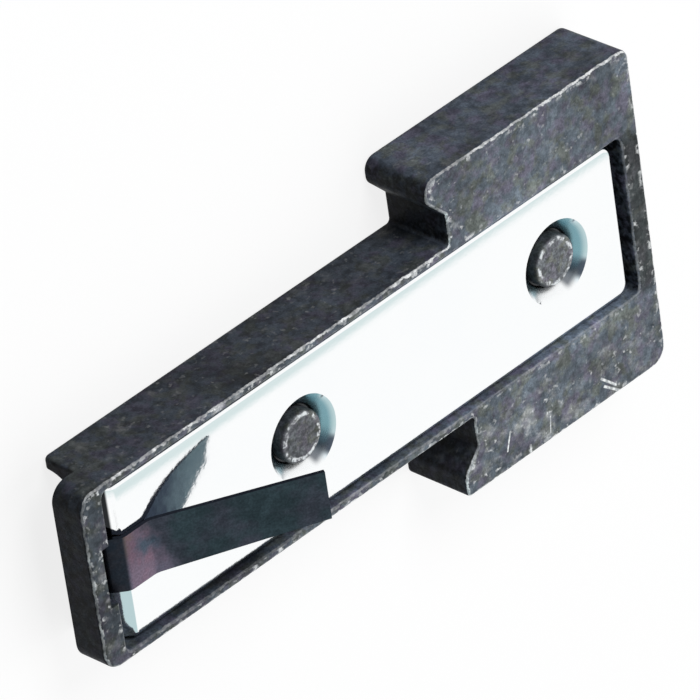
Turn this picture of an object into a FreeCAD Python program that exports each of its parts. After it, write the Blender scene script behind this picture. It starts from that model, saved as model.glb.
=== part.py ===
"""T bolt: a hooked steel T, a plate riveted into its front, and a leaf spring round the plate's end.

The bolt lies on its back. +X runs along the stem to the head, +Z comes out of the plate, and the
origin is under the middle of the whole part.
"""
import FreeCAD, Part
import os
import re
import Sketcher

# Driving dimensions in millimetres, with angles in degrees.
SIZES = {
    # The T seen from the front.
    "overall_length": 50.0,
    "stem_width": 12.8,
    "head_width": 23.4,
    "head_length": 17.25,
    "thickness": 5.3,
    "corner_radius": 1.3,
    "upper_head_corner_radius": 0.85,
    "edge_radius": 0.25,
    # The hooked ears: a straight root beside the stem, a slope, and a nose that reaches back.
    "hook_root": 2.2,
    "hook_slope": 1.55,
    "hook_reach": 1.45,
    "hook_radius": 0.7,
    "root_radius": 0.25,
    "upper_nose_radius": 0.95,
    "lower_nose_radius": 0.4,
    # The stem end: a tongue in front, and a round-roofed channel between two lips behind it.
    "tongue_reach": 2.1,
    "upper_lip_width": 0.7,
    "lower_lip_width": 1.7,
    "channel_length": 11.0,
    "channel_wall": 0.35,
    "channel_web": 0.46,
    "lip_radius": 0.55,
    # The front pocket and the rim round it.
    "stem_rim": 1.85,
    "head_rim": 1.6,
    "side_rim": 0.6,
    "pocket_radius": 0.5,
    "pocket_edge_radius": 0.25,
    # The plate, which stops short of both ends of the pocket.
    "plate_thickness": 1.3,
    "plate_drop": 0.4,
    "plate_stem_gap": 0.45,
    "plate_head_gap": 0.55,
    "plate_clearance": 0.2,
    "plate_corner_radius": 0.9,
    "plate_edge_radius": 0.35,
    "plate_end_land": 0.25,
    "plate_end_lower_radius": 0.25,
    "plate_bend_radius": 0.42,
    # The rivets, with heads sunk in bevelled recesses in the plate and tails sunk in the back.
    "rivet_span": 23.1,
    "rivet_inset": 8.1,
    "rivet_head_diameter": 3.55,
    "rivet_head_height": 0.9,
    "rivet_head_drop": 0.12,
    "rivet_head_clearance": 0.12,
    "rivet_head_radius": 0.25,
    "recess_land": 0.06,
    "rivet_shank_diameter": 2.4,
    "rivet_shank_clearance": 0.05,
    "rivet_tail_diameter": 3.6,
    "rivet_tail_height": 0.85,
    "rivet_tail_clearance": 0.2,
    "rivet_tail_drop": 0.15,
    "rivet_bevel": 0.15,
    # The leaf spring: a tail under the plate, a wrap round its end, a foot on it and a raised arm.
    "spring_width": 3.85,
    "spring_thickness": 0.3,
    "spring_clearance": 0.02,
    "spring_tail_margin": 2.5,
    "foot_length": 3.0,
    "arm_length": 11.285,
    "arm_angle": 28.2,
    "arm_bend_radius": 1.2,
    "arm_taper": 0.22,
    "seat_clearance": 0.1,
    "notch_depth": 0.72,
    "notch_clearance": 0.2,
}

# Places worked out from the driving dimensions.
HEAD_END = "(overall_length / 2)"
STEM_END = "(-overall_length / 2)"
BEYOND_STEM = f"({STEM_END} - tongue_reach)"
STEM_SIDE = "(stem_width / 2)"
HEAD_SIDE = "(head_width / 2)"
EAR_ROOT = f"({HEAD_END} - head_length)"
NOSE = f"({EAR_ROOT} - hook_reach)"
SLOPE_START = f"({STEM_SIDE} + hook_root)"
SLOPE_END = f"({SLOPE_START} + hook_slope)"
NOSE_FLAT = f"({HEAD_SIDE} - {SLOPE_END})"
POCKET_START = f"({STEM_END} + stem_rim)"
POCKET_END = f"({HEAD_END} - head_rim)"
POCKET_SIDE = f"({STEM_SIDE} - side_rim)"
PLATE_TOP = "(thickness - plate_drop)"
PLATE_BOTTOM = f"({PLATE_TOP} - plate_thickness)"
PLATE_START = f"({POCKET_START} + plate_stem_gap)"
PLATE_END = f"({POCKET_END} - plate_head_gap)"
PLATE_SIDE = f"({POCKET_SIDE} - plate_clearance)"
PLATE_BEVEL = "(plate_thickness - plate_end_lower_radius - plate_end_land)"
BEVEL_LOW = f"({PLATE_TOP} - {PLATE_BEVEL})"
BEVEL_HIGH = f"({PLATE_START} + {PLATE_BEVEL})"
# How far a bend of the bevelled end slips along it for each millimetre outside the plate.
BEVEL_SLIP = "tan(45 deg / 2)"
HEAD_RIVET = f"({HEAD_END} - rivet_inset)"
STEM_RIVET = f"({HEAD_RIVET} - rivet_span)"
RIVETS = [STEM_RIVET, HEAD_RIVET]
RIVET_TOP = f"({PLATE_TOP} - rivet_head_drop)"
RIVET_SEAT = f"({RIVET_TOP} - rivet_head_height)"
RIVET_TAIL_SEAT = "(rivet_tail_drop + rivet_tail_height)"
HEAD_RECESS = "(rivet_head_diameter + 2 * rivet_head_clearance)"
RECESS_DEPTH = "(rivet_head_drop + rivet_head_height)"
RECESS_BEVEL = f"({RECESS_DEPTH} - recess_land)"
SHANK_HOLE = "(rivet_shank_diameter + 2 * rivet_shank_clearance)"
TAIL_RECESS = "(rivet_tail_diameter + 2 * rivet_tail_clearance)"
TAIL_END = f"({STEM_RIVET} + spring_tail_margin)"
SEAT_SIDE = "(spring_width / 2 + seat_clearance)"
SEAT_END = f"({TAIL_END} + seat_clearance)"
SEAT_DEPTH = "(spring_thickness + 2 * spring_clearance)"
NOTCH_START = f"({POCKET_START} - notch_depth)"
NOTCH_SIDE = "(spring_width / 2 + notch_clearance)"
LIP_END = f"({STEM_END} + tongue_reach)"
CHANNEL_END = f"({LIP_END} + channel_length)"
CHANNEL_ROOF = f"({PLATE_BOTTOM} - {SEAT_DEPTH} - channel_web)"
CHANNEL_ROUND = f"({CHANNEL_ROOF} - channel_wall)"

UP = FreeCAD.Vector(0, 0, 1)
FULL_TURN = 360
# How close an edge comes to the place where it is looked for.
NEAR = 1e-5
# The most that each round may take of the flat that it starts from, as its radius.
CORNER_SHARE = 0.7
HOOK_SHARE = 0.5
RIM_SHARE = 0.8

doc = FreeCAD.newDocument("t_bolt")
sheet = doc.addObject("Spreadsheet::Sheet", "sizes")
for row, (alias, value) in enumerate(SIZES.items(), start=1):
    sheet.set(f"A{row}", alias)
    sheet.set(f"B{row}", str(value))
    sheet.setAlias(f"B{row}", alias)
doc.recompute()


def formula(text):
    """The expression with every size's name pointing at its cell in the sheet."""
    return re.sub(r"[a-z_]+", lambda word: "sizes." + word[0] if word[0] in SIZES else word[0], text)


def new_body(name):
    body = doc.addObject("PartDesign::Body", name)
    body.Label = name
    return body


def new_sketch(body, name, plane, height):
    """A sketch on one of the body's own planes, raised from it by height."""
    sketch = body.newObject("Sketcher::SketchObject", name)
    support = next(feature for feature in body.Origin.OriginFeatures if feature.Role == plane)
    sketch.AttachmentSupport = (support, "")
    sketch.MapMode = "FlatFace"
    sketch.setExpression("AttachmentOffset.Base.z", formula(height))
    return sketch


def bind(sketch, constraint, expression):
    index = sketch.addConstraint(constraint)
    sketch.setExpression(f"Constraints[{index}]", formula(expression))


def pin_point(sketch, curve, point, across, up):
    """Bind one point of a curve to its two distances from the sketch's origin."""
    bind(sketch, Sketcher.Constraint("DistanceX", -1, 1, curve, point, 1.0), across)
    bind(sketch, Sketcher.Constraint("DistanceY", -1, 1, curve, point, 1.0), up)


def polygon(body, name, plane, corners, height="0"):
    """A closed outline with straight sides through the given corners."""
    sketch = new_sketch(body, name, plane, height)
    count = len(corners)
    turn = FreeCAD.Rotation(UP, FULL_TURN / count)
    start = FreeCAD.Vector(1, 0, 0)
    for _ in corners:
        end = turn.multVec(start)
        sketch.addGeometry(Part.LineSegment(start, end))
        start = end
    for index in range(count):
        sketch.addConstraint(Sketcher.Constraint("Coincident", index, 2, (index + 1) % count, 1))
    for index, (across, up) in enumerate(corners):
        pin_point(sketch, index, 1, across, up)
    doc.recompute()
    return sketch


def rectangle(body, name, ends, sides, height="0"):
    """A rectangle on the XY plane between two places along X and two along Y."""
    (start, end), (low, high) = ends, sides
    return polygon(body, name, "XY_Plane", [(start, low), (end, low), (end, high), (start, high)], height)


def centred(side):
    """The two places at equal distances from the middle line."""
    return f"-{side}", side


def circles(body, name, diameter, height, centres):
    """Equal circles on the middle line."""
    sketch = new_sketch(body, name, "XY_Plane", height)
    for index, centre in enumerate(centres):
        sketch.addGeometry(Part.Circle(FreeCAD.Vector(), UP, 1.0))
        pin_point(sketch, index, 3, centre, "0")
        bind(sketch, Sketcher.Constraint("Diameter", index, 2.0), diameter)
    doc.recompute()
    return sketch


def pad(body, sketch, length, symmetric=False):
    feature = body.newObject("PartDesign::Pad", sketch.Name + "_pad")
    feature.Profile = sketch
    feature.setExpression("Length", formula(length))
    if symmetric:
        feature.SideType = "Symmetric"
    doc.recompute()
    return feature


def cut(body, sketch, depth, upward=False):
    """A pocket of the given depth, down from its sketch or up from it."""
    before = body.Shape.Volume
    feature = body.newObject("PartDesign::Pocket", sketch.Name + "_cut")
    feature.Profile = sketch
    feature.Reversed = upward
    feature.setExpression("Length", formula(depth))
    doc.recompute()
    if not body.Shape.Volume < before:
        raise RuntimeError(f"{feature.Name} removes nothing")
    return feature


def near(first, second):
    return abs(first - second) < NEAR


def level(edge, height):
    """Whether the whole edge lies at one height."""
    return near(edge.BoundBox.ZMin, height) and near(edge.BoundBox.ZMax, height)


def pick_edges(body, wanted):
    """The names of the body's edges that pass a test."""
    edges = enumerate(body.Tip.Shape.Edges, start=1)
    return [f"Edge{number}" for number, edge in edges if wanted(edge)]


def corner_edges(body, sketch, corners):
    """The names of the body's straight edges that stand on the given corners of a sketch."""
    normal = sketch.Placement.Rotation.multVec(UP)
    feet = [sketch.Placement.multVec(sketch.Geometry[corner].StartPoint) for corner in corners]

    def stands_on_a_corner(edge):
        ends = [vertex.Point for vertex in edge.Vertexes]
        return any(all((end - foot).cross(normal).Length < NEAR for end in ends) for foot in feet)

    return pick_edges(body, stands_on_a_corner)


def inside(edge, sketch):
    """Whether the edge lies within a rectangle's outline, or on it."""
    low, high = sketch.Geometry[0].StartPoint, sketch.Geometry[2].StartPoint
    box = edge.BoundBox
    along = low.x - NEAR < box.XMin and box.XMax < high.x + NEAR
    return along and low.y - NEAR < box.YMin and box.YMax < high.y + NEAR


def dress(body, kind, measure, name, edges, size):
    """Round or bevel the named edges of the body by the given size."""
    base = body.Tip
    feature = body.newObject("PartDesign::" + kind, name)
    feature.Base = (base, edges)
    feature.setExpression(measure, formula(size))
    doc.recompute()
    return feature


def fillet(body, name, edges, radius):
    return dress(body, "Fillet", "Radius", name, edges, radius)


def chamfer(body, name, edges, width):
    return dress(body, "Chamfer", "Size", name, edges, width)


def make_t_body():
    body = new_body("t_body")
    ear = [(EAR_ROOT, STEM_SIDE), (EAR_ROOT, SLOPE_START), (NOSE, SLOPE_END), (NOSE, HEAD_SIDE)]
    upper = [(STEM_END, STEM_SIDE), *ear, (HEAD_END, HEAD_SIDE)]
    lower = [(across, f"-{up}") for across, up in reversed(upper)]
    outline = polygon(body, "outline", "XY_Plane", upper + lower)
    front = pad(body, outline, "thickness").Length.Value

    # Behind the tongue the stem is cut back to two round-ended lips, with the channel between them.
    channel_sides = (f"lower_lip_width - {STEM_SIDE}", f"{STEM_SIDE} - upper_lip_width")
    channel = rectangle(body, "back_channel", (BEYOND_STEM, CHANNEL_END), channel_sides)
    roof = cut(body, channel, CHANNEL_ROOF, upward=True).Length.Value
    long_edges = pick_edges(body, lambda edge: level(edge, roof) and near(edge.BoundBox.YLength, 0))
    fillet(body, "channel_round", long_edges, CHANNEL_ROUND)
    step = rectangle(body, "tongue_step", (BEYOND_STEM, LIP_END), centred("stem_width"))
    cut(body, step, CHANNEL_ROOF, upward=True)
    lip_end = step.Geometry[1].StartPoint.x
    lip_ends = pick_edges(body, lambda edge: level(edge, 0) and near(edge.BoundBox.XMax, lip_end))
    lip_round = fillet(body, "lip_ends", lip_ends, "lip_radius")

    # Corners are counted from the upper stem corner round the head to the lower stem corner.
    fillet(body, "end_corners", corner_edges(body, outline, [0, 6, 11]), "corner_radius")
    fillet(body, "upper_head_corner", corner_edges(body, outline, [5]), "upper_head_corner_radius")
    noses = (("upper_nose", 4, "upper_nose_radius"), ("lower_nose", 7, "lower_nose_radius"))
    for name, corner, radius in noses:
        limited = f"min({radius}; {CORNER_SHARE} * {NOSE_FLAT})"
        fillet(body, name, corner_edges(body, outline, [corner]), limited)
    hooks = corner_edges(body, outline, [3, 8])
    fillet(body, "hooks", hooks, f"min(hook_radius; {HOOK_SHARE} * {NOSE_FLAT})")
    fillet(body, "roots", corner_edges(body, outline, [1, 2, 9, 10]), "root_radius")

    # The tumbled edges run along the outline in front and behind, and round the ends of the lips.
    lip_flat = lip_end + lip_round.Radius.Value

    def on_the_back_outline(edge):
        return level(edge, 0) and edge.BoundBox.XMax > lip_flat + NEAR and not inside(edge, channel)

    rims = pick_edges(body, lambda edge: level(edge, front) or on_the_back_outline(edge))
    fillet(body, "tumbled_edges", rims, "edge_radius")

    pocket_ends = (POCKET_START, POCKET_END)
    pocket = rectangle(body, "front_pocket", pocket_ends, centred(POCKET_SIDE), "thickness")
    cut(body, pocket, "plate_drop + plate_thickness")
    fillet(body, "pocket_corners", corner_edges(body, pocket, range(4)), "pocket_radius")
    mouth = pick_edges(body, lambda edge: level(edge, front) and inside(edge, pocket))
    fillet(body, "pocket_edges", mouth, f"min(pocket_edge_radius; {RIM_SHARE} * (side_rim - edge_radius))")
    notch_ends = (NOTCH_START, PLATE_START)
    notch = rectangle(body, "spring_notch", notch_ends, centred(NOTCH_SIDE), "thickness")
    cut(body, notch, f"plate_drop + plate_thickness + {SEAT_DEPTH}")
    seat_ends = (NOTCH_START, SEAT_END)
    seat = rectangle(body, "spring_seat", seat_ends, centred(SEAT_SIDE), PLATE_BOTTOM)
    cut(body, seat, SEAT_DEPTH)

    cut(body, circles(body, "shank_holes", SHANK_HOLE, "0", RIVETS), PLATE_BOTTOM, upward=True)
    cut(body, circles(body, "tail_recesses", TAIL_RECESS, "0", RIVETS), RIVET_TAIL_SEAT, upward=True)
    return body


def make_cover_plate():
    body = new_body("cover_plate")
    plan = rectangle(body, "plate_plan", (PLATE_START, PLATE_END), centred(PLATE_SIDE), PLATE_BOTTOM)
    bottom = plan.Placement.Base.z
    top = bottom + pad(body, plan, "plate_thickness").Length.Value
    fillet(body, "head_corners", corner_edges(body, plan, [1, 2]), "plate_corner_radius")

    start = plan.Geometry[0].StartPoint.x

    def end_edge(height, place):
        return pick_edges(body, lambda edge: level(edge, height) and near(edge.BoundBox.XMax, place))

    bevel = chamfer(body, "bevelled_end", end_edge(top, start), PLATE_BEVEL).Size.Value
    bends = end_edge(top, start + bevel) + end_edge(top - bevel, start)
    fillet(body, "end_bends", bends, "plate_bend_radius")
    sides = pick_edges(body, lambda edge: level(edge, top) and edge.BoundBox.XMax > 0)
    fillet(body, "rolled_edges", sides, "plate_edge_radius")
    fillet(body, "lower_end", end_edge(bottom, start), "plate_end_lower_radius")

    cut(body, circles(body, "plate_holes", SHANK_HOLE, PLATE_TOP, RIVETS), "plate_thickness")
    cut(body, circles(body, "head_recesses", HEAD_RECESS, PLATE_TOP, RIVETS), RECESS_DEPTH)
    mouths = pick_edges(body, lambda edge: level(edge, top) and edge.isClosed())
    chamfer(body, "recess_bevels", mouths, RECESS_BEVEL)
    return body


def make_rivet(name, place):
    """A turned rivet: a flat head with a round rim, a shank, and a tail spread in its recess behind."""
    body = new_body(name)
    head = "(rivet_head_diameter / 2)"
    shank = "(rivet_shank_diameter / 2)"
    tail = "(rivet_tail_diameter / 2)"
    half_section = [
        ("0", RIVET_TOP),
        (head, RIVET_TOP),
        (head, RIVET_SEAT),
        (shank, RIVET_SEAT),
        (shank, RIVET_TAIL_SEAT),
        (tail, RIVET_TAIL_SEAT),
        (tail, "rivet_tail_drop + rivet_bevel"),
        (f"{tail} - rivet_bevel", "rivet_tail_drop"),
        ("0", "rivet_tail_drop"),
    ]
    section = polygon(body, name + "_section", "XZ_Plane", half_section)
    turned = body.newObject("PartDesign::Revolution", name + "_turned")
    turned.Profile = section
    turned.ReferenceAxis = (section, ["V_Axis"])
    turned.Angle = FULL_TURN
    doc.recompute()
    top = max(vertex.Z for vertex in turned.Shape.Vertexes)
    rim = pick_edges(body, lambda edge: level(edge, top) and edge.isClosed())
    fillet(body, name + "_rim", rim, "rivet_head_radius")
    body.setExpression("Placement.Base.x", formula(place))
    doc.recompute()
    return body


def make_rivets():
    rivets = doc.addObject("Part::Compound", "rivets")
    rivets.Label = "rivets"
    rivets.Links = [make_rivet("stem_rivet", STEM_RIVET), make_rivet("head_rivet", HEAD_RIVET)]
    doc.recompute()
    return rivets


def make_leaf_spring():
    """A strip of even thickness: its inner side follows the plate, its outer side lies outside that."""
    body = new_body("leaf_spring")
    tail_top = f"({PLATE_BOTTOM} - spring_clearance)"
    tail_bottom = f"({tail_top} - spring_thickness)"
    foot_bottom = f"({PLATE_TOP} + spring_clearance)"
    foot_top = f"({foot_bottom} + spring_thickness)"
    bend = f"({PLATE_START} + foot_length)"
    angle = "(arm_angle * 1 deg)"
    tip_across = f"({bend} + arm_length * cos{angle})"
    tip_up = f"({foot_bottom} + arm_length * sin{angle})"

    def wrap(distance, tail, foot):
        """Three corners round the plate's end, all at one distance outside it."""
        start = f"{PLATE_START} - {distance}"
        slip = f"{distance} * {BEVEL_SLIP}"
        return [(start, tail), (start, f"{BEVEL_LOW} + {slip}"), (f"{BEVEL_HIGH} - {slip}", foot)]

    corners = [
        (TAIL_END, tail_top),
        *wrap("spring_clearance", tail_top, foot_bottom),
        (bend, foot_bottom),
        (tip_across, tip_up),
        (f"{tip_across} - spring_thickness * sin{angle}", f"{tip_up} + spring_thickness * cos{angle}"),
        (f"{bend} - spring_thickness * tan({angle} / 2)", foot_top),
        *reversed(wrap("(spring_clearance + spring_thickness)", tail_bottom, foot_top)),
        (TAIL_END, tail_bottom),
    ]
    profile = polygon(body, "strip_profile", "XZ_Plane", corners)
    pad(body, profile, "spring_width", symmetric=True)

    # Each bend has an inner and an outer radius, one thickness apart.
    bends = [
        ("lower_bend", 1, 10, "plate_end_lower_radius"),
        ("wrap_bend", 2, 9, "(plate_bend_radius + spring_clearance)"),
        ("foot_bend", 3, 8, "(plate_bend_radius + spring_clearance)"),
        ("arm_bend", 7, 4, "arm_bend_radius"),
    ]
    for name, inside, outside, radius in bends:
        fillet(body, name + "_inside", corner_edges(body, profile, [inside]), radius)
        outer_radius = f"{radius} + spring_thickness"
        fillet(body, name + "_outside", corner_edges(body, profile, [outside]), outer_radius)

    # The arm narrows evenly from the bend to its tip.
    for name, side in (("upper_taper", ""), ("lower_taper", "-")):
        wide = f"{side}(spring_width / 2)"
        narrow = f"{side}(spring_width / 2 - arm_taper)"
        wedge = [(bend, wide), (tip_across, narrow), (tip_across, wide)]
        cut(body, polygon(body, name, "XY_Plane", wedge, PLATE_TOP), "arm_length", upward=True)

    hole = circles(body, "tail_hole", SHANK_HOLE, tail_top, [STEM_RIVET])
    cut(body, hole, "spring_thickness")
    return body


def check(parts):
    """Stop if any object failed, or a part is empty or broken."""
    for item in doc.Objects:
        if "Invalid" in item.State or "Error" in item.State:
            raise RuntimeError(f"{item.Name} failed: {item.State}")
    for part in parts:
        if part.Shape.isNull() or not part.Shape.isValid():
            raise RuntimeError(f"{part.Label} is empty or broken")


parts = [make_t_body(), make_cover_plate(), make_rivets(), make_leaf_spring()]
doc.recompute()
check(parts)
os.makedirs("parts", exist_ok=True)
for part in parts:
    part.Shape.exportStep(f"parts/{part.Label}.step")
    print(part.Label, len(part.Shape.Solids), "solids", part.Shape.Volume, "mm3", part.Shape.BoundBox)
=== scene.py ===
"""T bolt: the finish of each piece, with studio light, a floor and the photograph's camera."""

import functools
import math

import bpy
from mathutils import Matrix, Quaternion, Vector


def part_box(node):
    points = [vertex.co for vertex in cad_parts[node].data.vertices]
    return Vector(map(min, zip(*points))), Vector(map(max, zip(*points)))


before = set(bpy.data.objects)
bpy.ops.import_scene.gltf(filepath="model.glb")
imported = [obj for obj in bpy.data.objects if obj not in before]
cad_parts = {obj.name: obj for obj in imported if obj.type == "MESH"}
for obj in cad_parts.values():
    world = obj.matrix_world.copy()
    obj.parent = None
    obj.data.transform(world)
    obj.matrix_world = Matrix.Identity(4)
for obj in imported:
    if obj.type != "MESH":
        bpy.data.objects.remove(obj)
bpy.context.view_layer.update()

MM = 0.001


def corners(node):
    """A node's lowest and highest corners in millimetres."""
    return [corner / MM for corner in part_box(node)]


# Places in millimetres. The stem, the ears and the plate lie about the middle line, y = 0.
BODY_LOW, BODY_HIGH = corners("t_body")
PLATE_LOW, PLATE_HIGH = corners("cover_plate")
RIVETS_LOW, RIVETS_HIGH = corners("rivets")
STEM_END, HEAD_END = BODY_LOW.x, BODY_HIGH.x
PLATE_START = PLATE_LOW.x
PLATE_UNDER, PLATE_TOP = PLATE_LOW.z, PLATE_HIGH.z
PLATE_SIDE = PLATE_HIGH.y
STEM_SIDE = PLATE_SIDE + 0.8
EAR_SIDE = BODY_HIGH.y
EAR_START = HEAD_END - 17.0
STEM_RIVET = RIVETS_LOW.x + RIVETS_HIGH.y
HEAD_RIVET = RIVETS_HIGH.x - RIVETS_HIGH.y
RECESS_RADIUS = 2.9
ARM_BEND = PLATE_START + 3.0


def grey(level, blue=0.0):
    """A grey of that brightness, cooler as blue rises."""
    return (level * (1 - blue), level, level * (1 + blue), 1)


class Nodes:
    """A node tree, with a short call for each kind of node that the finishes and the studio share."""

    def __init__(self, tree):
        self.nodes = tree.nodes
        self.links = tree.links

    def add(self, kind):
        return self.nodes.new("ShaderNode" + kind)

    def put(self, socket, value):
        """Link a node's output to the socket, or set the socket to a plain value."""
        if isinstance(value, bpy.types.NodeSocket):
            self.links.new(value, socket)
        else:
            socket.default_value = value

    def split(self, vector):
        node = self.add("SeparateXYZ")
        self.put(node.inputs[0], vector)
        return node.outputs

    def vector(self, operation, first, second):
        node = self.add("VectorMath")
        node.operation = operation
        self.put(node.inputs[0], first)
        self.put(node.inputs["Scale" if operation == "SCALE" else 1], second)
        return node.outputs["Value" if operation == "DOT_PRODUCT" else "Vector"]

    def math(self, operation, *values):
        """The operation on one value, or on the first two and then on each result and the next value."""
        def pair(first, second):
            node = self.add("Math")
            node.operation = operation
            self.put(node.inputs[0], first)
            self.put(node.inputs[1], second)
            return node.outputs[0]

        return functools.reduce(pair, values) if len(values) > 1 else pair(values[0], 0.0)

    def times(self, *factors):
        return self.math("MULTIPLY", *factors)

    def plus(self, *terms):
        return self.math("ADD", *terms)

    def either(self, *masks):
        return self.math("MAXIMUM", *masks)

    def magnitude(self, value):
        """The value without its sign."""
        return self.math("ABSOLUTE", value)

    def diagonal(self, first, second):
        """How far away a place is that lies first along and second aside."""
        return self.math("SQRT", self.plus(self.times(first, first), self.times(second, second)))

    def step(self, value, low, high):
        """0 up to low and 1 from high, with a smooth rise between them. A low above high falls instead."""
        node = self.add("MapRange")
        node.interpolation_type = "SMOOTHSTEP"
        for name, number in (("Value", value), ("From Min", low), ("From Max", high)):
            self.put(node.inputs[name], number)
        return node.outputs["Result"]

    def band(self, value, rise, fall):
        """1 between a rise and a fall, each given by the two values that its step runs between."""
        return self.times(self.step(value, *rise), self.step(value, *fall))

    def between(self, share, low, high):
        """The number that lies that share of the way from low to high."""
        node = self.add("MapRange")
        for name, number in (("Value", share), ("To Min", low), ("To Max", high)):
            self.put(node.inputs[name], number)
        return node.outputs["Result"]

    def blend(self, share, first, second):
        """The colour that lies that share of the way from first to second."""
        node = self.add("Mix")
        node.data_type = "RGBA"
        colours = [socket for socket in node.inputs if socket.type == "RGBA"]
        self.put(node.inputs["Factor"], share)
        self.put(colours[0], first)
        self.put(colours[1], second)
        return next(socket for socket in node.outputs if socket.type == "RGBA")

    def background_rays(self):
        """1 for rays that show the background: straight to the camera, in a mirror or through glass."""
        path = self.add("LightPath").outputs
        return self.either(path["Is Camera Ray"], path["Is Glossy Ray"], path["Is Transmission Ray"])


class Finish(Nodes):
    """One material. Places are millimetres in the part's own frame."""

    def __init__(self, name):
        self.material = bpy.data.materials.new(name)
        self.material.use_nodes = True
        super().__init__(self.material.node_tree)
        self.shader = self.nodes["Principled BSDF"]
        coordinates = self.add("TexCoord").outputs
        self.place = self.vector("SCALE", coordinates["Object"], 1 / MM)
        self.x, self.y, self.z = self.split(self.place)
        self.facing_x, self.facing_y, self.facing_z = self.split(coordinates["Normal"])

    def set(self, name, value):
        self.put(self.shader.inputs[name], value)

    def brighten(self, colour, factor):
        return self.vector("SCALE", colour, factor)

    def noise(self, size, detail=3, roughness=0.55, stretch=(1, 1, 1), offset=(0, 0, 0)):
        """Noise with spots up to about that many millimetres across, longer where stretch is above 1."""
        squeezed = self.vector("DIVIDE", self.place, stretch)
        node = self.add("TexNoise")
        self.put(node.inputs["Vector"], self.vector("ADD", squeezed, offset))
        for name, number in (("Scale", 1 / size), ("Detail", detail), ("Roughness", roughness)):
            self.put(node.inputs[name], number)
        return node.outputs["Fac"]

    def patches(self, size, low=0.35, high=0.65, **shape):
        """Noise pulled apart into patches, 0 where it is below low and 1 where it is above high."""
        return self.step(self.noise(size, **shape), low, high)

    def openness(self, reach, inside=False):
        """How open the surface is within that reach: low in corners, or inside it low along edges."""
        node = self.add("AmbientOcclusion")
        node.samples = 8
        node.inside = inside
        node.only_local = inside
        self.put(node.inputs["Distance"], reach * MM)
        return node.outputs["AO"]

    def scratch(self, start, end, width):
        """1 along a straight line between two places in X and Y."""
        start = Vector((*start, 0))
        end = Vector((*end, 0))
        along = (end - start).normalized()
        across = Vector((-along.y, along.x, 0))
        half = (end - start).length / 2
        offset = self.vector("SUBTRACT", self.place, (start + end) / 2)
        far = self.magnitude(self.vector("DOT_PRODUCT", offset, along))
        aside = self.magnitude(self.vector("DOT_PRODUCT", offset, across))
        return self.times(self.step(far, half, half - width), self.step(aside, width, 0.4 * width))

    def from_rivet(self):
        """Distance from the nearer rivet's axis."""
        middle = (STEM_RIVET + HEAD_RIVET) / 2
        from_middle = self.magnitude(self.plus(self.x, -middle))
        return self.diagonal(self.plus(from_middle, middle - HEAD_RIVET), self.y)

    def bump(self, height, depth):
        """Raise the surface by depth millimetres where height is 1."""
        node = self.add("Bump")
        self.put(node.inputs["Height"], height)
        self.put(node.inputs["Distance"], depth * MM)
        self.set("Normal", node.outputs["Normal"])


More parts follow.
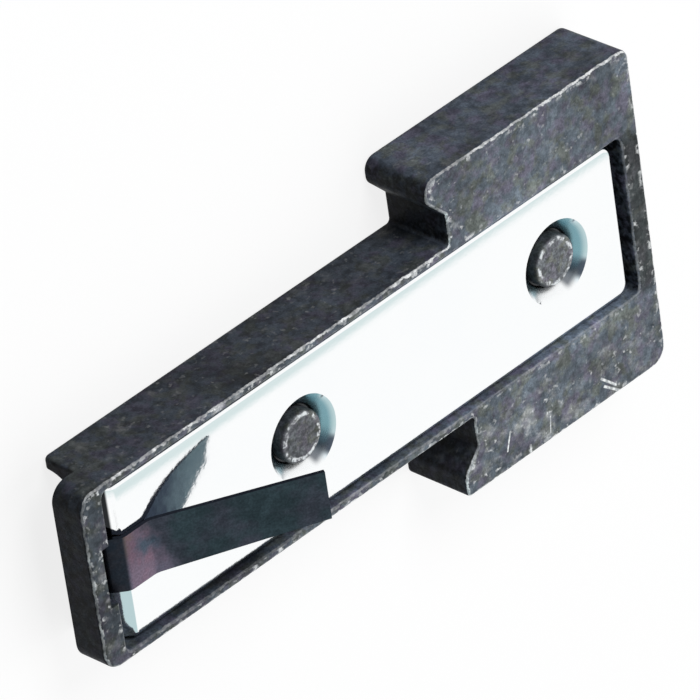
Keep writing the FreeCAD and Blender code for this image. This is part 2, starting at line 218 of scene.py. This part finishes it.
class DarkSteel(Finish):
    """Dark oxide over a fine cast skin: mottled and flecked, and rubbed bright along its edges."""

    COLD = (0.82, 1.0, 1.2, 1)
    PURPLE = (0.98, 0.94, 1.26, 1)
    OLIVE = (0.94, 1.05, 0.92, 1)
    SIDE_CAST = (1.0, 1.01, 1.1, 1)
    FRONT_LEVEL = 0.138
    SCRATCHES = (
        ((18.9, -9.8), (20.3, -11.1), 0.12),
        ((19.1, -10.5), (20.6, -11.7), 0.12),
        ((10.1, -10.4), (10.6, -9.0), 0.09),
        ((14.0, -11.2), (14.2, -9.9), 0.07),
    )

    def __init__(self):
        super().__init__("dark_steel")
        self.off_middle = self.magnitude(self.y)
        self.front = self.step(self.facing_z, 0.8, 0.97)
        self.stem_end = self.step(self.facing_x, -0.3, -0.9)
        self.edge = self.step(self.openness(0.8, inside=True), 0.97, 0.75)
        self.head_rim = self.times(
            self.step(self.x, HEAD_END - 2.1, HEAD_END - 1.5),
            self.step(self.off_middle, STEM_SIDE, STEM_SIDE - 1.5),
        )
        self.mottle = self.patches(0.6, 0.3, 0.7, detail=5, roughness=0.65)
        self.grain = self.patches(0.14, 0.3, 0.7, detail=2, offset=(7, 3, 5))

        skin = self.brighten(self.tone(), self.shade())
        bare = self.either(self.flecks(), self.knots(), self.rubbed_edges(), self.scratches())
        sparkle = self.blend(self.patches(0.3, 0.4, 0.6, offset=(1, 3, 3)), grey(0.55, 0.02), grey(1.0))
        self.set("Base Color", self.blend(bare, skin, sparkle))
        self.set("Metallic", self.times(bare, 0.75))
        self.set("Roughness", self.between(self.mottle, 0.62, 0.5))
        self.set("Specular IOR Level", 0.1)
        self.bump(self.plus(self.times(self.mottle, 0.6), self.times(self.grain, 0.4)), 0.012)

    def tone(self):
        """The oxide's tint: cold, with purple and olive patches, and bluer on the sides."""
        purple = self.patches(1.4, 0.45, 0.62, detail=4, offset=(3, 1, 6))
        olive = self.patches(1.1, 0.47, 0.64, detail=4, offset=(8, 5, 2))
        tone = self.blend(self.times(purple, 0.9), self.COLD, self.PURPLE)
        warm = self.either(self.times(olive, 0.8), self.times(self.head_rim, self.front, 0.5))
        tone = self.blend(warm, tone, self.OLIVE)
        return self.vector("MULTIPLY", tone, self.blend(self.front, self.SIDE_CAST, grey(1.0)))

    def shade(self):
        """How light the oxide is, with its clouds and its mottle, and with painted light and shade face by
        face and in its corners.
        """
        pocket_wall = self.times(
            self.step(self.off_middle, PLATE_SIDE + 0.35, PLATE_SIDE + 0.25),
            self.step(self.z, PLATE_UNDER - 0.1, PLATE_UNDER + 0.2),
            self.step(self.front, 0.2, 0.0),
        )
        # Painted light: the pocket's walls are lighter than the other sides, and lighter towards the head.
        painted_pocket_wall_light = self.between(self.step(self.x, STEM_END + 7, HEAD_END - 7), 0.07, 0.2)
        # Painted shade: the sides are darker than the front, and lighter towards the ears.
        painted_side_shade_level = self.between(self.step(self.x, EAR_START - 7, EAR_START + 2), 0.056, 0.12)
        outside_level = self.between(self.front, painted_side_shade_level, self.front_level())
        # Painted shade: the stem end's face, turned away from the lamps, is darkened in patches.
        painted_end_shade_patches = self.patches(0.45, 0.36, 0.64, detail=4, offset=(4, 4, 1))
        cloud = self.noise(4.0, detail=2, offset=(1, 8, 2))
        darkest = self.between(self.front, 0.56, 0.66)
        lightest = self.between(self.front, 1.44, 1.34)
        # Painted shade in corners and under the ears, where the surface is closed in.
        painted_corner_shade = self.times(self.step(self.openness(6.0), 0.62, 0.2), self.step(pocket_wall, 1.0, 0.0))
        return self.times(
            self.between(pocket_wall, outside_level, painted_pocket_wall_light),
            self.between(self.stem_end, 1.0, self.between(painted_end_shade_patches, 0.05, 0.55)),
            self.between(cloud, 0.1, 1.9),
            self.between(self.mottle, darkest, lightest),
            self.between(self.grain, 0.82, 1.18),
            self.between(painted_corner_shade, 1.0, 0.12),
        )

    def front_level(self):
        """The front's level: low at the stem end and on the head's streaky rim, high at the ears' roots."""
        streaks = self.patches(0.3, stretch=(1, 10, 1), offset=(3, 3, 1))
        streaky_rim = self.times(self.head_rim, self.between(streaks, 1.0, 0.7))
        ear_root = self.times(
            self.step(self.off_middle, STEM_SIDE + 1, STEM_SIDE - 0.3),
            self.step(self.x, EAR_START - 1, EAR_START + 1),
            self.step(self.head_rim, 0.4, 0.0),
        )
        return self.times(
            self.FRONT_LEVEL,
            self.between(self.step(self.x, STEM_END + 2, STEM_END + 13), 0.55, 1.0),
            self.between(streaky_rim, 1.0, 0.3),
            self.between(ear_root, 1.0, 1.3),
        )

    def flecks(self):
        """Small bare spots, crowded along edges, on the stem's upper rim and on the lower ear."""
        salt = self.patches(0.5, 0.6, 0.74, detail=2, offset=(4, 9, 1))
        chips = self.patches(1.3, 0.57, 0.76, detail=4, offset=(2, 7, 7))
        dust = self.times(
            self.patches(1.5, 0.48, 0.74, detail=5, roughness=0.65, offset=(2, 4, 8)),
            self.step(self.y, -STEM_SIDE - 0.1, -STEM_SIDE - 1.1),
        )
        upper_rim = self.times(
            self.step(self.y, STEM_SIDE - 0.7, STEM_SIDE - 0.4),
            self.step(self.x, EAR_START + 2, EAR_START),
        )
        lower_ear = self.times(
            self.step(self.y, -STEM_SIDE - 0.6, -STEM_SIDE - 2.1),
            self.between(self.step(self.x, EAR_START + 10, EAR_START + 4), 0.6, 1.0),
        )
        clusters = self.patches(2.2, 0.45, 0.62, offset=(5, 5, 9))
        crowd = self.either(self.times(self.edge, 0.35), upper_rim, self.times(clusters, 0.3), lower_ear)
        return self.times(
            self.either(salt, self.times(chips, 0.7), self.times(dust, 0.5)),
            self.between(crowd, 0.14, 0.9),
            self.between(self.front, self.between(self.stem_end, 0.16, 0.05), 1.0),
            self.between(self.head_rim, 1.0, 0.4),
        )

    def knots(self):
        """Larger worn spots close beside the front's edges."""
        spots = self.patches(0.8, 0.56, 0.64, offset=(3, 6, 2))
        return self.times(spots, self.step(self.edge, 0.5, 0.9), self.front, 0.7)

    def rubbed_edges(self):
        """Ragged wear along the front's edges, in stretches, weak on the pocket's rim and at the stem end."""
        ragged = self.noise(0.45, detail=4, roughness=0.6, offset=(6, 2, 4))
        tilt = self.plus(self.facing_z, self.between(ragged, -0.42, 0.42))
        ridge = self.times(
            self.band(tilt, (0.42, 0.56), (0.97, 0.86)), self.step(self.facing_z, 0.998, 0.98))
        stretches = self.patches(1.6, 0.4, 0.62, detail=4, offset=(9, 4, 8))
        ear_edge = self.times(
            self.step(self.y, EAR_SIDE - 0.9, EAR_SIDE - 0.5),
            self.step(self.x, EAR_START + 1, EAR_START + 4),
        )
        pocket_rim = self.times(
            self.step(self.off_middle, STEM_SIDE - 0.2, STEM_SIDE - 0.3),
            self.step(self.magnitude(self.x), HEAD_END - 1, HEAD_END - 1.4),
        )
        stem_rim = self.step(self.x, STEM_END + 1.2, STEM_END + 0.6)
        return self.times(
            ridge,
            self.between(self.either(stretches, self.times(ear_edge, 0.8)), 0.4, 1.0),
            self.between(self.either(pocket_rim, self.times(stem_rim, 0.6)), 1.0, 0.3),
        )

    def scratches(self):
        """The four longest marks, all on the lower ear's front."""
        return self.times(self.either(*(self.scratch(*mark) for mark in self.SCRATCHES)), self.front)


class BrightPlate(Finish):
    """Bright plating, close to a mirror, with a faint bluish cast and fine handling marks."""

    PLATING = (0.95, 0.97, 0.98, 1), (0.98, 0.99, 0.99, 1)
    TEAL = (0.4, 0.58, 0.64, 1)
    PAINTED_DARK_TIPS = (0.1, 0.115, 0.14, 1)
    ROLL_START = 2.5
    BEVEL_START = PLATE_START + 0.97
    BEVEL_BEND = 0.3
    BEVEL_RISE = math.sqrt(2)

    def __init__(self):
        super().__init__("bright_plate")
        self.off_rivet = self.from_rivet()
        self.upper_half = self.step(self.y, -1, 1.5)
        self.recess = self.times(
            self.step(self.off_rivet, RECESS_RADIUS + 0.05, RECESS_RADIUS),
            self.step(self.z, PLATE_TOP - 0.015, PLATE_TOP - 0.4),
        )
        hairlines = self.noise(0.25, detail=4, stretch=(30, 1, 1))
        self.set("Base Color", self.colour())
        self.set("Metallic", 1.0)
        self.set("Roughness", self.plus(self.between(hairlines, 0.05, 0.1), self.times(self.recess, 0.2)))
        self.bump(self.relief(), 1.0)

    def colour(self):
        """Plating, with painted reflections in the recesses, teal with dark tips, painted shade round the
        rivets and a painted dark reflection along the stem end.
        """
        # Painted reflection: teal in the recesses, above their lowest part.
        teal = self.times(self.recess, self.step(self.y, -1.9, -1.5))
        # Painted reflection: dark tips on the recesses' slopes that face one way.
        painted_dark_tips = self.times(
            self.recess,
            self.step(self.facing_x, -0.16, -0.3),
            self.step(self.facing_y, 0.36, 0.52),
            0.85,
        )
        # Painted shade in the gap round each rivet's head.
        painted_rivet_gap_shade = self.step(self.off_rivet, 2.05, 1.95)
        # Painted reflection: a dark line along the upper half of the plate's end, next to the rim.
        painted_end_reflection = self.times(
            self.step(self.z, PLATE_TOP - 0.28, PLATE_TOP - 0.4),
            self.step(self.x, PLATE_START + 0.9, PLATE_START + 0.7),
            self.upper_half,
        )
        colour = self.blend(self.noise(6.0), *self.PLATING)
        colour = self.blend(teal, colour, self.TEAL)
        colour = self.blend(painted_dark_tips, colour, self.PAINTED_DARK_TIPS)
        colour = self.blend(painted_rivet_gap_shade, colour, grey(0.05, 0.05))
        return self.blend(painted_end_reflection, colour, grey(0.02, 0.1))

    def relief(self):
        """Height in millimetres: the long edges roll over gently, and the bevel fades on the upper half."""
        outboard = self.either(self.plus(self.magnitude(self.y), -self.ROLL_START), 0.0)
        strength = self.between(self.step(self.x, PLATE_START + 0.7, HEAD_END - 9), -0.0096, -0.0066)
        roll = self.times(outboard, outboard, outboard, strength)
        ripple = self.times(self.noise(0.35, detail=2), 0.004)
        flat = self.either(
            self.step(self.facing_z, 0.97, 0.995),
            self.step(self.off_rivet, RECESS_RADIUS + 0.1, RECESS_RADIUS + 0.3),
        )

        run = self.either(self.math("SUBTRACT", self.BEVEL_START, self.x), 0.0)
        bend = self.math("MINIMUM", run, self.BEVEL_BEND)
        ramp = self.plus(self.times(bend, bend, 0.5 / self.BEVEL_BEND), self.math("SUBTRACT", run, bend))
        fade = self.times(ramp, self.upper_half, self.BEVEL_RISE)
        return self.plus(self.times(self.plus(roll, ripple), flat), fade)


class RivetSteel(Finish):
    """Dark steel heads, mottled on top and rubbed to a broken ring near the rim, with painted shade on their
    sides.
    """

    COLD = grey(1.0, 0.08)
    PURPLE = (1.0, 0.93, 1.16, 1)
    OLIVE = (0.98, 1.04, 0.86, 1)

    def __init__(self):
        super().__init__("rivet_steel")
        mottle = self.patches(0.4, detail=4, roughness=0.6)
        grain = self.patches(0.13, 0.3, 0.7, detail=2, offset=(7, 3, 5))
        purple = self.patches(0.8, 0.42, 0.66, offset=(3, 1, 6))
        olive = self.patches(0.7, 0.5, 0.66, offset=(8, 5, 2))
        tone = self.blend(self.times(purple, 0.8), self.COLD, self.PURPLE)
        tone = self.blend(self.times(olive, 0.7), tone, self.OLIVE)
        at_head = self.step(self.x, 0, 10)
        top_level = self.between(at_head, 0.12, 0.17)
        # Painted shade: the heads' sides are darker than their tops.
        shade = self.times(
            self.between(self.step(self.facing_z, 0.5, 0.9), 0.06, top_level),
            self.between(mottle, 0.62, 1.38),
            self.between(grain, 0.75, 1.25),
        )

        uneven = self.plus(self.from_rivet(), self.times(self.noise(0.5), 0.35))
        ring = self.times(
            self.band(uneven, (1.44, 1.6), (1.84, 1.74)), self.step(self.facing_z, 0.3, 0.6))
        breaks = self.patches(0.55, 0.45, 0.6, offset=(6, 2, 4))
        rubbed = self.times(ring, self.between(breaks, 0.05, 0.95))
        self.set("Base Color", self.blend(rubbed, self.brighten(tone, shade), grey(0.9, 0.02)))
        self.set("Metallic", self.times(rubbed, 0.7))
        self.set("Roughness", self.between(mottle, 0.6, 0.45))
        self.set("Specular IOR Level", 0.15)
        self.bump(self.plus(self.times(mottle, 0.6), self.times(grain, 0.4)), 0.015)


class BluedSteel(Finish):
    """Blued spring strip, with a bronze and purple heat tint on its foot, and painted shade where it wraps
    the plate.
    """

    SLATE = (0.052, 0.066, 0.076, 1), (0.074, 0.068, 0.088, 1)
    UNDERSIDE = (0.055, 0.06, 0.085, 1), (0.19, 0.25, 0.27, 1)
    PURPLE = (0.168, 0.128, 0.172, 1), (0.195, 0.128, 0.172, 1)
    BLUE_SPOT = (0.09, 0.115, 0.155, 1)
    BRONZE = (0.23, 0.15, 0.145, 1), (0.18, 0.13, 0.14, 1)
    WRAP = (0.034, 0.037, 0.05, 1), (0.046, 0.04, 0.05, 1)
    SIDES = (0.02, 0.021, 0.028, 1)

    def __init__(self):
        super().__init__("blued_steel")
        self.streak = self.noise(0.3, detail=4, stretch=(12, 1, 1))
        self.cloud = self.patches(1.1, 0.38, 0.62, detail=4, roughness=0.6)
        self.grain = self.patches(0.15, 0.3, 0.7, detail=2, offset=(7, 3, 5))

        ragged_end = self.times(self.noise(1.0, detail=2), -2.0)
        reach = self.plus(self.x, ragged_end, self.times(self.y, 0.4))
        foot = self.step(reach, ARM_BEND - 0.3, ARM_BEND - 1.5)
        # Painted shade where the strip wraps round the plate's end.
        wrap = self.times(
            self.step(self.facing_x, -0.2, -0.5), self.step(self.x, ARM_BEND - 1.3, ARM_BEND - 2.1))
        # Painted shade on the strip's narrow sides.
        sides = self.step(self.magnitude(self.facing_y), 0.4, 0.8)
        colour = self.blend(foot, self.slate(), self.heat_tint())
        colour = self.blend(wrap, colour, self.blend(self.cloud, *self.WRAP))
        colour = self.blend(sides, colour, self.SIDES)
        self.set("Base Color", self.brighten(colour, self.between(self.grain, 0.85, 1.15)))
        self.set("Metallic", 1.0)
        self.set("Roughness", self.between(self.streak, 0.3, 0.42))
        self.set("Specular Tint", grey(0.5, 0.1))
        self.bump(self.streak, 0.004)

    def slate(self):
        """The blued steel away from the heat, with a painted reflection under the arm that grows paler
        towards its free end.
        """
        drift = self.patches(2.6, 0.38, 0.62, offset=(5, 2, 8))
        level = self.times(self.between(self.streak, 0.7, 1.3), self.between(self.cloud, 0.85, 1.15))
        slate = self.brighten(self.blend(drift, *self.SLATE), level)
        uneven = self.plus(self.x, self.times(self.cloud, 2.0))
        towards_tip = self.step(uneven, ARM_BEND + 2.2, ARM_BEND + 8.7)
        # Painted reflection of the plate on the arm's underside.
        underside = self.step(self.facing_z, -0.3, -0.7)
        return self.blend(underside, slate, self.blend(towards_tip, *self.UNDERSIDE))

    def heat_tint(self):
        """Purple with one blue spot, turning to bronze near the wrap's upper side."""
        purple = self.blend(self.cloud, *self.PURPLE)
        aside = self.times(self.plus(self.y, -0.5), 1.2)
        along = self.times(self.plus(self.x, 0.6 - ARM_BEND), 0.75)
        from_spot = self.plus(self.diagonal(aside, along), self.times(self.cloud, 0.3))
        purple = self.blend(self.step(from_spot, 1.25, 0.3), purple, self.BLUE_SPOT)
        near_wrap = self.times(
            self.step(self.plus(self.x, self.times(self.cloud, 0.6)), ARM_BEND - 1.2, ARM_BEND - 2.0),
            self.step(self.y, -0.4, 1.2),
        )
        tint = self.blend(near_wrap, purple, self.blend(self.grain, *self.BRONZE))
        return self.brighten(tint, self.between(self.step(self.y, 0.8, -1.6), 0.94, 1.3))


def give_finishes():
    finishes = {
        "t_body": DarkSteel(),
        "cover_plate": BrightPlate(),
        "rivets": RivetSteel(),
        "leaf_spring": BluedSteel(),
    }
    for node, finish in finishes.items():
        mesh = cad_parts[node].data
        mesh.materials.clear()
        mesh.materials.append(finish.material)


def make_floor(half, gap, level, glow):
    """A pale floor just under the back, nearly white to the eye but grey in the light it throws back."""
    mesh = bpy.data.meshes.new("floor")
    outline = [(-half, -half, -gap), (half, -half, -gap), (half, half, -gap), (-half, half, -gap)]
    mesh.from_pydata(outline, [], [(0, 1, 2, 3)])
    floor = bpy.data.objects.new("floor", mesh)
    bpy.context.scene.collection.objects.link(floor)

    material = bpy.data.materials.new("floor")
    material.use_nodes = True
    surface = Nodes(material.node_tree)
    surface.nodes.clear()
    lit = surface.add("BsdfDiffuse")
    surface.put(lit.inputs["Color"], grey(level))
    shown = surface.add("Emission")
    surface.put(shown.inputs["Strength"], surface.times(surface.background_rays(), glow))
    both = surface.add("AddShader")
    surface.put(both.inputs[0], lit.outputs[0])
    surface.put(both.inputs[1], shown.outputs[0])
    surface.put(surface.add("OutputMaterial").inputs["Surface"], both.outputs[0])
    mesh.materials.append(material)


def make_world(ambient):
    """White where it is seen. Mirrors show a white tent with a bluish side, a seam and one dark gap."""
    world = bpy.data.worlds.new("studio")
    world.use_nodes = True
    sky = Nodes(world.node_tree)
    direction = sky.add("TexCoord").outputs["Generated"]
    across, along, _ = sky.split(direction)

    def towards(aim, inner, outer):
        """1 within so many degrees of the aim, falling to 0 further out."""
        cosine = sky.vector("DOT_PRODUCT", direction, Vector(aim).normalized())
        return sky.step(cosine, math.cos(math.radians(outer)), math.cos(math.radians(inner)))

    pale, bluish, dark = (0.8, 0.88, 0.92, 1), (0.5, 0.64, 0.66, 1), (0.08, 0.1, 0.13, 1)
    bluish_side = towards((-0.35, -0.65, 0.67), 30, 65)
    white_side = sky.either(sky.step(across, 0.25, 0.4), towards((0.3, 0.55, 0.78), 18, 34))
    seam = sky.step(sky.magnitude(sky.plus(along, 0.3)), 0.14, 0.03)
    gap = towards((-0.5, 0.3, 0.81), 9, 24)
    tent = sky.blend(bluish_side, pale, bluish)
    tent = sky.blend(white_side, tent, grey(1.0))
    tent = sky.blend(sky.times(seam, 0.6), tent, (0.5, 0.66, 0.66, 1))
    tent = sky.blend(gap, tent, dark)

    path = sky.add("LightPath").outputs
    background = sky.nodes["Background"]
    sky.put(background.inputs["Color"], sky.blend(path["Is Camera Ray"], tent, grey(1.0)))
    sky.put(background.inputs["Strength"], sky.between(sky.background_rays(), ambient, 1.0))
    bpy.context.scene.world = world


def softbox(name, direction, distance, size, radiance):
    """A square light of even brightness that faces the part."""
    lamp = bpy.data.lights.new(name, "AREA")
    lamp.size = size
    lamp.energy = radiance * math.pi * size ** 2
    light = bpy.data.objects.new(name, lamp)
    towards = Vector(direction).normalized()
    light.location = towards * distance
    light.rotation_mode = "QUATERNION"
    light.rotation_quaternion = towards.to_track_quat("Z", "Y")
    light.visible_camera = False
    light.visible_glossy = False
    bpy.context.scene.collection.objects.link(light)


def make_camera(azimuth, elevation, roll, aim, distance, lens):
    """The photograph's view: a long lens, turned on its side so that the bolt seems to stand."""
    back = Vector((
        math.sin(azimuth) * math.cos(elevation),
        -math.cos(azimuth) * math.cos(elevation),
        math.sin(elevation),
    ))
    optics = bpy.data.cameras.new("camera")
    optics.lens = lens
    optics.clip_start = 10 * MM
    camera = bpy.data.objects.new("camera", optics)
    camera.location = Vector(aim) + back * distance
    camera.rotation_mode = "QUATERNION"
    upright = (-back).to_track_quat("-Z", "Y")
    camera.rotation_quaternion = upright @ Quaternion((0, 0, 1), roll)
    bpy.context.scene.collection.objects.link(camera)
    bpy.context.scene.camera = camera


give_finishes()
make_floor(half=2.0, gap=0.02 * MM, level=0.2, glow=0.83)
make_world(ambient=0.08)
softbox("key", (0.5, -0.45, 0.74), distance=0.55, size=0.9, radiance=1.4)
softbox("fill", (0, 0.74, 0.67), distance=0.5, size=0.25, radiance=6.0)
make_camera(
    azimuth=math.radians(225.89),
    elevation=math.radians(38.64),
    roll=math.radians(112.6),
    aim=(-0.88 * MM, 3.24 * MM, 4.36 * MM),
    distance=569 * MM,
    lens=478,
)
bpy.context.scene.view_settings.view_transform = "Standard"
